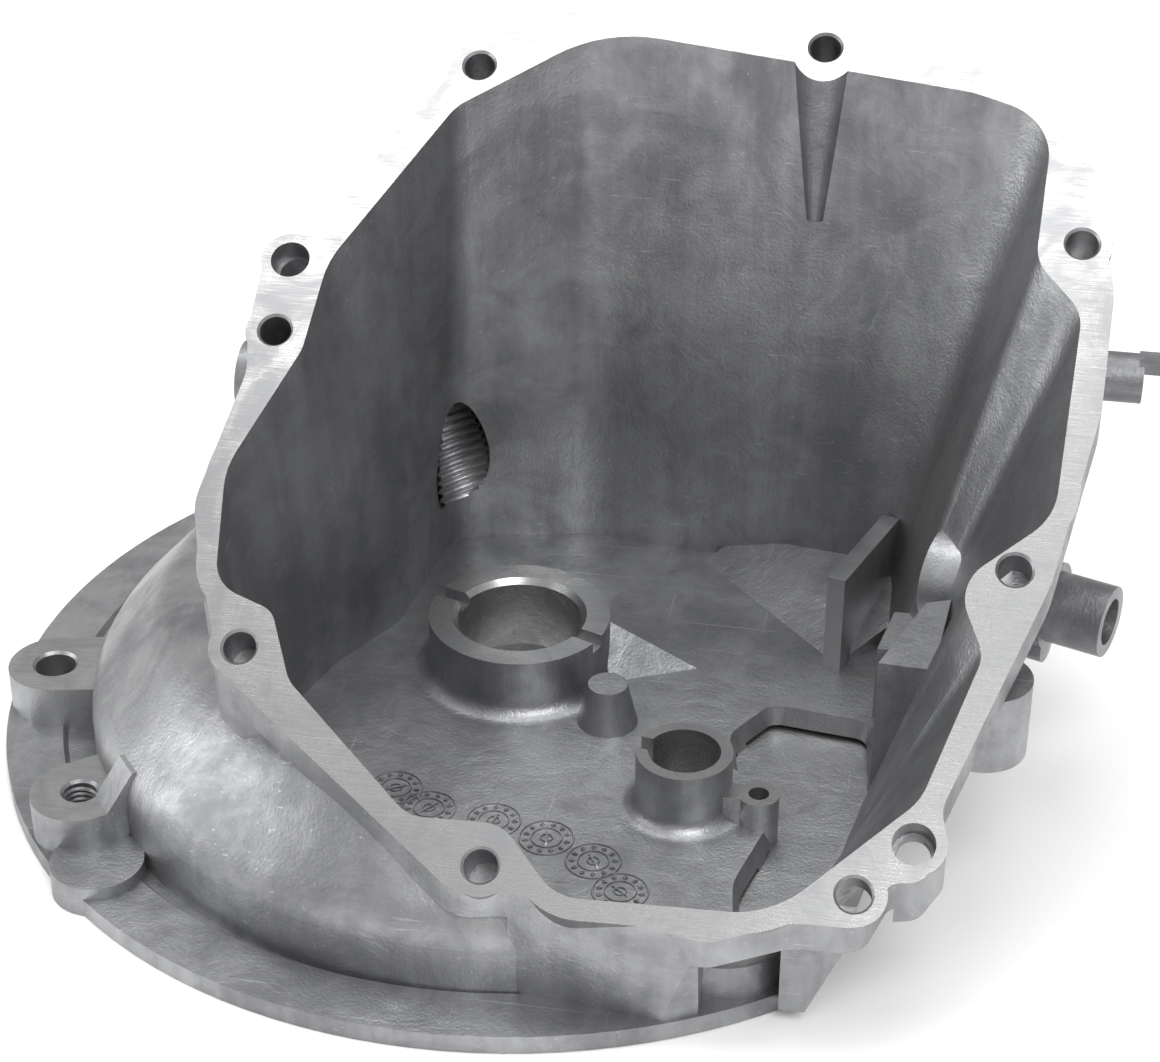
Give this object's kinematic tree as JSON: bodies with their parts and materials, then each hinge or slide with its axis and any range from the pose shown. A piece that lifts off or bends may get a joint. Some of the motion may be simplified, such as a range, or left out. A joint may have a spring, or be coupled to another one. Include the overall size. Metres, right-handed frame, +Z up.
{
  "type": "die cast crankcase housing",
  "caption": "Open die cast aluminium crankcase half with a slanted bolted joint face, bearing bosses on its floor and a round mounting base",
  "frame": {"origin": "on the crankshaft axis at the base mounting face", "axes": "+Z up along the crankshaft, +Y the way the slanted joint face climbs, +X across it toward the governor shaft"},
  "size_m": [0.2446, 0.2242, 0.1413],
  "materials": {
    "cast_aluminium": "as cast, with machined joint face, bosses and bores"
  },
  "bodies": {
    "root": {"housing": "cast_aluminium"}
  },
  "joints": []
}
